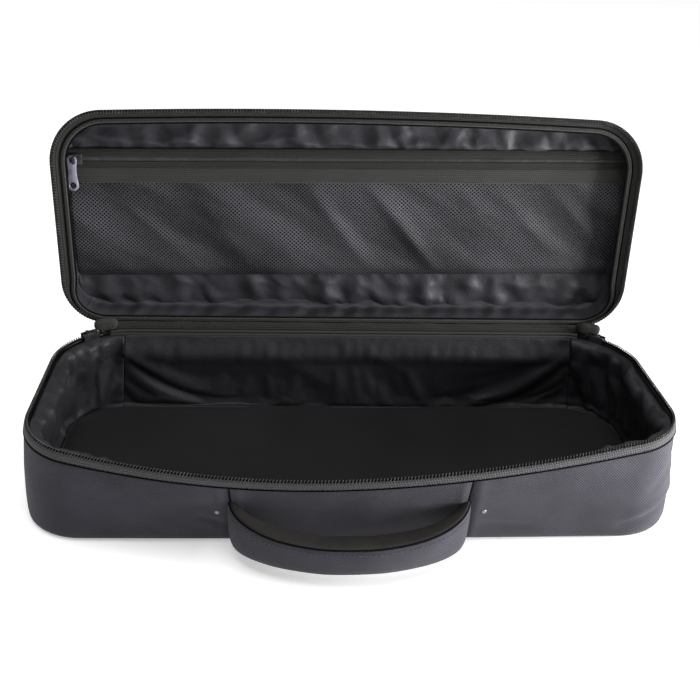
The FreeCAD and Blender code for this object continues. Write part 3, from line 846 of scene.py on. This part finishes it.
def make_handle():
    outer = grip_strip((0, 1))
    inner = grip_strip((2, 3), bow=1.0)
    u, v = lay_out(inner)[..., 0], lay_out(inner)[..., 1]
    pleat = 0.25 * drift(u, v, 72, 24, 4) * (smooth(v, 2, 9) * (1 - smooth(v, v.max() - 6, v.max())))
    inner[..., 2] += 0.3 * pleat
    inner[..., 1] += pleat
    u, v = lay_out(outer)[..., 0], lay_out(outer)[..., 1]
    outer[..., 1] += 0.30 * drift(u, v, 73, 40, 1)
    front = thicken(skin("grip_outer_cover", outer, finishes["outer_fabric"]), 0.9, 1)
    back = thicken(skin("grip_inner_cover", inner, finishes["grip_lining"]), 0.9, 1)
    core = grip_strip((0, 1, 2, 3), 1.8, bow=0.8, pinch=0.0)[2:-2]
    n, m = core.shape[:2]
    faces = [(i * m + k, (i + 1) * m + k, (i + 1) * m + (k + 1) % m, i * m + (k + 1) % m)
             for i in range(n - 1) for k in range(m)]
    faces += [tuple(range(m))[::-1], tuple((n - 1) * m + k for k in range(m))]
    foam = build("grip_foam", core.reshape(-1, 3), faces, finishes["foam"])
    strap = grip_strip((2,), 3.6, bow=0.0, pinch=0.0)[2:-2]
    webbing = thicken(skin("grip_webbing", strap, finishes["webbing"]), 1.2)
    edge = outer[2:-2, 1].copy()
    edge[:, 2] -= 0.6
    edge[:, 1] -= 0.75
    thread = stitches("grip_stitches", edge, finishes["pale_thread"], 2.4, 1.4, 0.26)
    # a near-black line along the grip's top seam: painted shade between the two covers
    welt = tube("grip_edge_shade_line", (outer[1:-1, 0] + inner[1:-1, -1]) / 2, 0.8, finishes["painted_seam_shade"], 8)
    bends = {front: ["handle_outer_cover", "right_handle_end", "left_handle_end"],
             back: ["handle_inner_cover"], foam: ["handle_foam_core"], webbing: ["handle_webbing"],
             thread: [], welt: []}
    for piece, nodes in bends.items():
        bake(piece)
        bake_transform(piece)
        if nodes:
            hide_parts(*nodes)


def bake(piece):
    """Makes a piece's modifiers part of its mesh."""
    made = bpy.data.meshes.new_from_object(piece.evaluated_get(bpy.context.evaluated_depsgraph_get()))
    piece.modifiers.clear()
    piece.data = made


# ------------------------------------------------------------------ lid
def make_lid_shell():
    loop = np.linspace(0, 1, 420, endpoint=False)
    rows = [(9.4, 9.6, 1.6), (9.0, 8.4, 0.6), (9.8, 7.2, 0.1), (12, 6.0, 0), (16, 5.2, 0), (20, 5.2, 0.2),
            (24, 5.6, 0.8), (28, 6.6, 2.0), (30.5, 8.0, 3.6), (32.6, 10.0, 6.0), (34.0, 12.4, 8.8),
            (34.7, 15, 12)]
    grid = lid_rows(loop, rows)
    grid[..., 1] += 0.5 * drift(grid[..., 0], grid[..., 2], 81, 70) * smooth(np.arange(len(rows)), 2, 6)
    band = thicken(skin("lid_band", grid, finishes["outer_fabric"], True), 1.0, 1)
    dress(band, "lid", "outer_fabric", "lid_outer_band")
    flat = flat_grid(lid_outline(13.0, 10.0), 34, 7, 36)
    reach = np.abs(flat[..., 0]).max()
    crown = 1 - (np.abs(flat[..., 0]) / reach) ** 6
    rows_share = np.linspace(-1, 1, flat.shape[1])[None, :]
    crown = crown * (1 - np.abs(rows_share) ** 4)
    lift = 34.6 + 2.4 * crown + 0.35 * drift(flat[..., 0], flat[..., 1], 83, 110)
    top = thicken(skin("lid_top_cloth", stood(np.dstack([flat, lift])), finishes["outer_fabric"]), 1.0, 1)
    dress(top, "lid", "outer_fabric", "lid_top_fabric")
    welt = lid_rows(np.linspace(0, 1, 500, endpoint=False), [(34.6, 13.2, 10.2)])[:, 0]
    welt = dress(tube("lid_seam_cord", welt, 1.25, finishes["binding"], 8, True), "lid", "outer_fabric")
    for name, node, slot, level, thick in (("lid_board_sheet", "lid_board", "board", 32.7, 1.6),
                                           ("lid_top_foam_pad", "lid_top_foam", "foam", 29.9, 3.2)):
        plate = np.dstack([flat * (0.985, 1), np.full(flat.shape[:2], level)])
        piece = dress(thicken(skin(name, stood(plate), finishes[slot]), thick), "lid", slot, node)
    for side, (start, end) in PAD_SPANS.items():
        shares = np.linspace(start, end, int((end - start) * 300))
        rows = [(11.5, 8.4, 2.4), (15, 7.9, 2.4), (20, 7.9, 2.5), (25, 8.3, 3.0)]
        piece = thicken(skin("lid_%s_wall_foam" % side, lid_rows(shares, rows), finishes["foam"]), 2.4)
        dress(piece, "lid", "foam", "lid_foam_" + side)


def make_lid_rim():
    shares = np.linspace(-LID_ZIP_END, LID_ZIP_END, 440)
    rows = [(9.0, 11.0, 2.4), (8.2, 9.8, 1.6), (7.2, 8.2, 0.9), (6.2, 6.2, 0.5), (5.2, 4.2, 0.4),
            (4.4, 2.6, 0.5), (3.6, 1.6, 0.9)]
    tape = thicken(skin("lid_tape_cloth", lid_rows(shares, rows), finishes["lid_tape"]), 0.8)
    dress(tape, "lid", "webbing", "lid_zip_tape")
    fine = np.linspace(-LID_ZIP_END, LID_ZIP_END, 1500)
    line = lid_rows(fine, [(2.7, 2.3, 2.2)])[:, 0]
    teeth = coil("lid_coil_teeth", line, 1.4, 0.8, LID_DEEP, 0.46, TOOTH_PITCH, finishes["coil"], 1.2)
    dress(teeth, "lid", "coil", "lid_zip_coil")
    # a near-black line along the lid's coil: painted shade between coil and tape
    cord = lid_rows(fine[::3], [(3.1, 1.7, 1.9)])[:, 0]
    dress(tube("lid_coil_shade_line", cord, 0.95, finishes["painted_seam_shade"], 6), "lid", "coil")
    loop = np.linspace(0, 1, 440, endpoint=False)
    rows = [(8.6, 8.9, 1.8), (7.4, 8.8, 1.6), (6.5, 9.5, 2.4), (6.4, 10.8, 3.6),
            (7.0, 12.0, 4.8), (8.4, 12.6, 5.2)]
    binding = thicken(skin("lid_binding", lid_rows(loop, rows), finishes["binding"], True), 0.7, 1)
    dress(binding, "lid", "webbing", "lid_rim_binding")
    # near-black lines in the grooves on each side of the binding: painted shade
    for name, row, radius in (("lid_rim_groove_shade", (6.6, 8.2, 1.0), 0.7),
                              ("lid_lining_groove_shade", (7.6, 12.9, 5.4), 0.8)):
        groove = lid_rows(np.linspace(0, 1, 600, endpoint=False), [row])[:, 0]
        dress(tube(name, groove, radius, finishes["painted_seam_shade"], 8, True), "lid", "webbing")
    row = lid_rows(np.linspace(0, 1, 1200), [(5.95, 10.2, 3.0)])[:, 0]
    dress(stitches("binding_stitches", row, finishes["thread"], 2.6, 1.4, 0.25), "lid", "webbing")


def make_lid_lining():
    walls = (("right", 0.165, 0.345, 0.175), ("back", 0.345, 0.655, 0.43),
             ("left", 0.655, 0.835, 0.175), ("front", -0.165, 0.165, 0.41))
    for side, start, end, length in walls:
        shares = np.linspace(start, end, int((end - start) * 440))
        rows = [(8.2, 12.0, 5.0), (10, 12.2, 5.8), (12.5, 12, 6.8), (15, 11.4, 7.6), (17.5, 11, 8),
                (20, 11, 8.2), (22.5, 11.4, 8.6), (25, 12.2, 9.6), (26.8, 14, 12), (27.4, 16.5, 15)]
        grid = lid_rows(shares, rows)
        weave = lay_out(grid)
        u, v = weave[..., 0], weave[..., 1]
        loose = smooth(v, 1, 6) * (1 - smooth(v, v.max() - 6, v.max()))
        wave = 1.4 * drift(u, v, 90 + len(side), 16, 3) * loose
        if side in ("left", "right"):
            inner = smooth(u, 2, 25) * (1 - smooth(u, u.max() - 25, u.max() - 2))
            grid[..., 0] += np.where(grid[..., 0] > 0, 1, -1) * (1.2 + 0.7 * wave) * loose * inner
        else:
            grid[..., 2] += wave * (1 if side != "front" else -0.6)
        piece = skin("lid_%s_lining" % side, grid, finishes["lid_lining"])
        thicken(piece, 0.5, 1)
        dress(piece, "lid", "lining", "lid_lining_" + side)
    flat = flat_grid(lid_outline(11.5, 9.0), 34, 3.0, 62)
    x, up = flat[..., 0], BACK_Y - flat[..., 1]
    strip = smooth(up, 153, 160) * (1 - smooth(up, 172, 180)) + smooth(up, 8, 14) * (1 - smooth(up, 34, 41))
    gather = np.exp(-((up - 158) / 6) ** 2) + 0.7 * np.exp(-((up - 34) / 7) ** 2)
    slack = 2.2 * strip * drift(x + 0.5 * up, up, 101, 30, 1.2)
    slack += 2.0 * gather * folds(x + 0.6 * up, up, 102, 17, 2)
    upper = 2.8 * smooth(up, 153, 158) * (1 - smooth(up, 158, 176))
    slack += upper + 1.4 * smooth(up, 12, 20) * (1 - smooth(up, 30, 41))
    lift = 27.2 - np.clip(slack, -0.2, 5.0) + 0.2 * drift(x, up, 103, 50)
    sheet = skin("lid_panel_cloth", stood(np.dstack([flat, lift])), finishes["lid_lining"])
    n, m = flat.shape[:2]
    index = np.arange(n * m).reshape(n, m)
    sewn = (abs(up - 152 - POCKET_TILT * x) < 1.6) | (abs(up - 42 - POCKET_TILT * x) < 1.6)
    middle = (up > 48) & (up < 148)
    held = np.unique(np.concatenate([index[sewn | middle], index[:, :1].ravel(), index[:, -1:].ravel(),
                                     index[:1].ravel(), index[-1:].ravel()]))
    relax(sheet, held, 0.03, LID_DEEP, reach=4.0, give=0.15)
    thicken(sheet, 0.5, 1)
    dress(sheet, "lid", "lining", "lid_panel_lining")


def pocket_grid(low, high, depth, rows, step=3.0):
    """A strip of the pocket between two heights up from the hinge, sewn a little higher at its right."""
    x = np.linspace(POCKET_LEFT, POCKET_RIGHT, int((POCKET_RIGHT - POCKET_LEFT) / step))
    share = np.linspace(0, 1, rows)
    up = low + (high - low) * share[None, :] + POCKET_TILT * x[:, None]
    xx = np.repeat(x[:, None], rows, 1)
    return xx, up, np.dstack([xx, BACK_Y - up, np.full(up.shape, depth)])


def pocket_line(up, depth, count):
    """A line along the pocket, this far up from the hinge and this deep in the lid."""
    x = np.linspace(-238, 240, count)
    return stood(np.column_stack([x, BACK_Y - up - POCKET_TILT * x, np.full(len(x), depth)]))


def make_pocket():
    x, up, grid = pocket_grid(41, 127.5, 22.9, 44)
    share = (up - 41 - POCKET_TILT * x) / 86.5
    loose = np.sin(math.pi * np.clip(share, 0, 1)) ** 0.7
    slant = x + 0.95 * up
    sag = 1.6 * drift(slant * 0.8, x * 0.12, 111, 60) + 3.4 * folds(slant, x * 0.2 - up * 0.2, 112, 110)
    grid[..., 2] -= loose * np.clip(sag - 0.4, -1.5, 5)
    grid[..., 2] += 2.6 * np.exp(-((share) / 0.05) ** 2)
    netting = thicken(skin("pocket_net", stood(grid), finishes["net"]), 0.35)
    dress(netting, "lid", "mesh", "pocket_mesh")
    strips = (("pocket_hem_band", "pocket_hem", 125.5, 138.2, 22.2, "binding", 8),
              ("pocket_lower_tape", "pocket_tape_lower", 136.6, 144.0, 22.6, "lid_tape", 6),
              ("pocket_upper_tape", "pocket_tape_upper", 147.2, 154.2, 22.6, "lid_tape", 6))
    for name, node, low, high, depth, finish, rows in strips:
        x, up, grid = pocket_grid(low, high, depth, rows, step=2.5)
        grid[..., 2] += 0.35 * drift(x, up, 120 + rows, 40) - 0.3
        if name == "pocket_upper_tape":
            grid[..., 2] += 2.4 * np.linspace(0, 1, rows)[None, :] ** 3
        dress(thicken(skin(name, stood(grid), finishes[finish]), 0.8), "lid", "webbing", node)
    rows = []
    for level, turn in ((145.1, 0.0), (146.1, math.pi)):
        line = pocket_line(level, 21.9, 900)
        rows.append(coil("row", line, 0.75, 0.6, LID_DEEP, 0.36, 1.6, finishes["pocket_coil"], turn))
    dress(joined("pocket_coil_rows", rows), "lid", "coil", "pocket_coil")
    lines = []
    for level, depth in ((43.0, 24.6), (127.6, 21.7), (135.6, 21.7), (152.6, 23.4)):
        lines.append(stitches("row", pocket_line(level, depth, 700), finishes["thread"], 2.6, 1.4, 0.28))
    dress(joined("pocket_stitches", lines), "lid", "mesh")


def blunt(value):
    """A sine or cosine pushed towards 1, which squares off what is drawn with it."""
    return np.sign(value) * abs(value) ** 0.62


def make_hinge_ends():
    """The padded ends of the hinge strip, folded over and rounded."""
    for side, low, high in (("left", -222, -202), ("right", 207, 228)):
        turn, rise = np.linspace(0, 2 * math.pi, 40, endpoint=False), np.linspace(-1.45, 1.45, 21)
        a, b = np.meshgrid(turn, rise, indexing="ij")
        x = (low + high) / 2 + (high - low) / 2 * blunt(np.cos(b)) * blunt(np.cos(a))
        z = 89.0 + 5.3 * blunt(np.cos(b)) * blunt(np.sin(a))
        y = BACK_Y - 2.2 + 3.4 * np.sin(b) - corner_draw(x) * 0.5
        grid = np.stack([x, y, z + 0.3 * drift(x, z, 133, 9)], -1)
        # the right end is given the darker grip lining finish and the left the binding finish: the right
        # end's darker colour is painted shade
        end = skin("hinge_end_" + side, grid, finishes["grip_lining" if side == "right" else "binding"], True)
        work = bmesh.new()
        work.from_mesh(end.data)
        bmesh.ops.holes_fill(work, edges=[e for e in work.edges if len(e.link_faces) == 1], sides=0)
        work.to_mesh(end.data)
        work.free()
        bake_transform(end)


def make_hinge():
    x = np.linspace(-219, 222, 180)
    path = [(0.2, 66), (0.5, 72), (0.5, 77), (0.2, 81.5), (0.6, 84.2),
            (2.0, 85.9), (4.6, 86.3), (8, 86.0), (13, 85.4), (18, 84.9)]
    grid = np.array([[(a, BACK_Y + past, z) for past, z in path] for a in x])
    grid[..., 1] -= corner_draw(grid[..., 0])
    grid[..., 2] += 0.3 * drift(grid[..., 0], grid[..., 1], 131, 30)
    strip = thicken(skin("hinge_strip_cloth", grid, finishes["lid_tape"]), 1.0, 1)
    bake(strip)
    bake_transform(strip)
    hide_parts("hinge_strip")
    make_hinge_ends()
    for name, up, inset, radius in (("hinge_cord_low", 4.4, 3.0, 1.3), ("hinge_cord_high", 7.2, 2.2, 1.1)):
        shares = np.linspace(0.36, 0.64, 300)
        line = base_rows(shares, [(1, up, inset)])[:, 0]
        dress(tube(name, line, radius, finishes["binding"], 8), "base", "webbing")


# ------------------------------------------------------------------ metal
def softened(name, node, body, slot, finish):
    """A hard part as packed, with its edges rounded over."""
    width = 0.35
    mesh = frame["nodes"][node].data.copy()
    mesh.name = name
    work = bmesh.new()
    work.from_mesh(mesh)
    bmesh.ops.remove_doubles(work, verts=work.verts, dist=1e-6)
    bmesh.ops.dissolve_limit(work, angle_limit=math.radians(4), verts=work.verts, edges=work.edges)
    sharp = [e for e in work.edges if len(e.link_faces) == 2 and e.calc_face_angle(0) > math.radians(32)]
    bmesh.ops.bevel(work, geom=sharp, offset=width * MM, segments=3, affect="EDGES", profile=0.5,
                    clamp_overlap=True)
    work.to_mesh(mesh)
    work.free()
    mesh.polygons.foreach_set("use_smooth", [True] * len(mesh.polygons))
    mesh.materials.clear()
    mesh.materials.append(finish)
    piece = bpy.data.objects.new(name, mesh)
    scene.collection.objects.link(piece)
    mesh.set_sharp_from_angle(angle=math.radians(40))
    return dress(piece, body, slot, node)


def make_metal():
    for side in ("left", "right"):
        softened(side + "_slider", side + "_slider_body", side + "_slider", "slider_metal",
                 finishes["enamel"])
        softened(side + "_pull", side + "_pull_tab", side + "_pull", "pull_metal", finishes["enamel"])
    softened("pocket_slider_shell", "pocket_slider_body", "pocket_slider", "slider_metal", finishes["enamel"])
    make_pocket_pull()


def make_pocket_pull():
    """A flat pull with a round eye at its top and a larger hole at its rounded end."""
    pivot = Vector(joints["pocket_pull_swing"]["pos_m"]) / MM
    shape = bpy.data.curves.new("pocket_pull_plate", "CURVE")
    shape.dimensions, shape.fill_mode, shape.resolution_u = "2D", "BOTH", 20
    shape.extrude, shape.bevel_depth, shape.bevel_resolution = 0.48, 0.2, 3
    top, low = 3.9, 4.5
    side = [(top * math.cos(a), 0.6 + top * math.sin(a)) for a in np.linspace(0, math.pi, 15)]
    side += [(-3.3, -4.5), (-3.1, -9), (-3.5, -15)]
    side += [(low * math.cos(a), -20.9 + low * math.sin(a)) for a in np.linspace(math.pi, 2 * math.pi, 19)]
    side += [(3.5, -15), (3.1, -9), (3.3, -4.5)]
    round_once = np.linspace(0, 2 * math.pi, 20, endpoint=False)
    eye = [(2.6 * math.cos(a), 0.6 + 2.7 * math.sin(a)) for a in round_once]
    hole = [(3.0 * math.cos(a), -20.9 + 3.0 * math.sin(a)) for a in round_once]
    for line in (side, eye, hole):
        spline = shape.splines.new("POLY")
        spline.points.add(len(line) - 1)
        for point, (x, y) in zip(spline.points, line):
            point.co = (x, y, 0, 1)
        spline.use_cyclic_u = True
    draft = bpy.data.objects.new("draft", shape)
    scene.collection.objects.link(draft)
    mesh = bpy.data.meshes.new_from_object(draft.evaluated_get(bpy.context.evaluated_depsgraph_get()))
    bpy.data.objects.remove(draft)
    deep = Vector(LID_DEEP)
    up = Vector((0, math.cos(LEAN) * -1, math.sin(LEAN)))
    across = Vector((1, 0, 0))
    askew = 0.02
    turned = across * math.cos(askew) - up * math.sin(askew)
    upright = up * math.cos(askew) + across * math.sin(askew)
    mesh.transform(Matrix((turned, upright, -deep)).transposed().to_4x4())
    mesh.transform(Matrix.Translation(pivot + across * -1.6))
    mesh.transform(Matrix.Scale(MM, 4))
    work = bmesh.new()
    work.from_mesh(mesh)
    bmesh.ops.remove_doubles(work, verts=work.verts, dist=2e-6)
    work.to_mesh(mesh)
    work.free()
    mesh.name = "pocket_pull_plate"
    mesh.materials.clear()
    mesh.materials.append(finishes["plated"])
    piece = bpy.data.objects.new("pocket_pull_plate", mesh)
    scene.collection.objects.link(piece)
    dress(piece, "pocket_pull", "pull_metal", "pocket_pull_tab")


def paint_cad():
    """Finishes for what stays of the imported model."""
    for name, node in frame["nodes"].items():
        finish = finishes[next((kind for kind in ("foam", "board") if kind in name), "webbing")]
        node.data.materials.clear()
        node.data.materials.append(finish)


# ------------------------------------------------------------------ studio
def make_studio():
    floor = bpy.data.meshes.new("studio_floor")
    floor.from_pydata([(-9, -6, 0), (9, -6, 0), (9, 12, 0), (-9, 12, 0)], [], [(0, 1, 2, 3)])
    f = Finish("studio_white")
    grain = f.noise(f.place(), 0.01, 2.0)
    floor.materials.append(f.done({"Specular IOR Level": 0.1, "Emission Color": (1, 1, 1, 1),
                                   "Emission Strength": 0.35}, Roughness=0.9,
                                  Base_Color=f.blend(grain, (0.90, 0.90, 0.90), (0.93, 0.93, 0.93))))
    sheet = bpy.data.objects.new("studio_floor", floor)
    sheet.location.z = -0.0008
    scene.collection.objects.link(sheet)
    world = bpy.data.worlds.new("studio")
    scene.world = world
    sky = Finish(world)
    ahead = sky.split(sky.add("ShaderNodeTexCoord", output="Generated"))[1]
    strength = ahead.between(-0.05, 0.35, 0.40, 1.0)
    glow = sky.add("ShaderNodeBackground", None, {"Color": (1, 1, 1, 1), "Strength": strength})
    sky.add("ShaderNodeOutputWorld", None, [glow])
    scene.view_settings.view_transform = "Standard"
    for name, place, aim, size, power in (("key", (1.05, -0.28, 0.13), (0.05, 0, 0.10), 0.5, 42),
                                          ("top", (0.0, -0.35, 1.7), (0, 0.05, 0.1), 0.8, 14)):
        lamp = bpy.data.lights.new(name, "AREA")
        lamp.size, lamp.energy = size, power
        light = bpy.data.objects.new(name, lamp)
        light.location = place
        light.rotation_mode = "QUATERNION"
        light.rotation_quaternion = (Vector(aim) - Vector(place)).to_track_quat("-Z", "Y")
        scene.collection.objects.link(light)


def make_camera():
    pitch, yaw, roll = (math.radians(a) for a in (29.25, 3.78, 2.23))
    ahead = Vector((math.sin(yaw) * math.cos(pitch), math.cos(yaw) * math.cos(pitch), -math.sin(pitch)))
    side = ahead.cross(Vector((0, 0, 1))).normalized()
    up = side.cross(ahead)
    turned = side * math.cos(roll) + up * math.sin(roll)
    upright = up * math.cos(roll) - side * math.sin(roll)
    lens = bpy.data.cameras.new("camera")
    lens.lens, lens.sensor_width = 49.35, 36
    lens.clip_start, lens.clip_end = 0.01, 100
    camera = bpy.data.objects.new("camera", lens)
    frame_axes = Matrix((turned, upright, -ahead)).transposed().to_4x4()
    camera.matrix_world = Matrix.Translation((-0.04642, -0.66418, 0.48845)) @ frame_axes
    scene.collection.objects.link(camera)
    scene.camera = camera


make_camera()
make_studio()
paint_cad()
make_base_shell()
make_base_zip()
make_base_inside()
make_side_tabs()
make_rivets()
make_handle()
make_lid_shell()
make_lid_rim()
make_lid_lining()
make_pocket()
make_hinge()
make_metal()
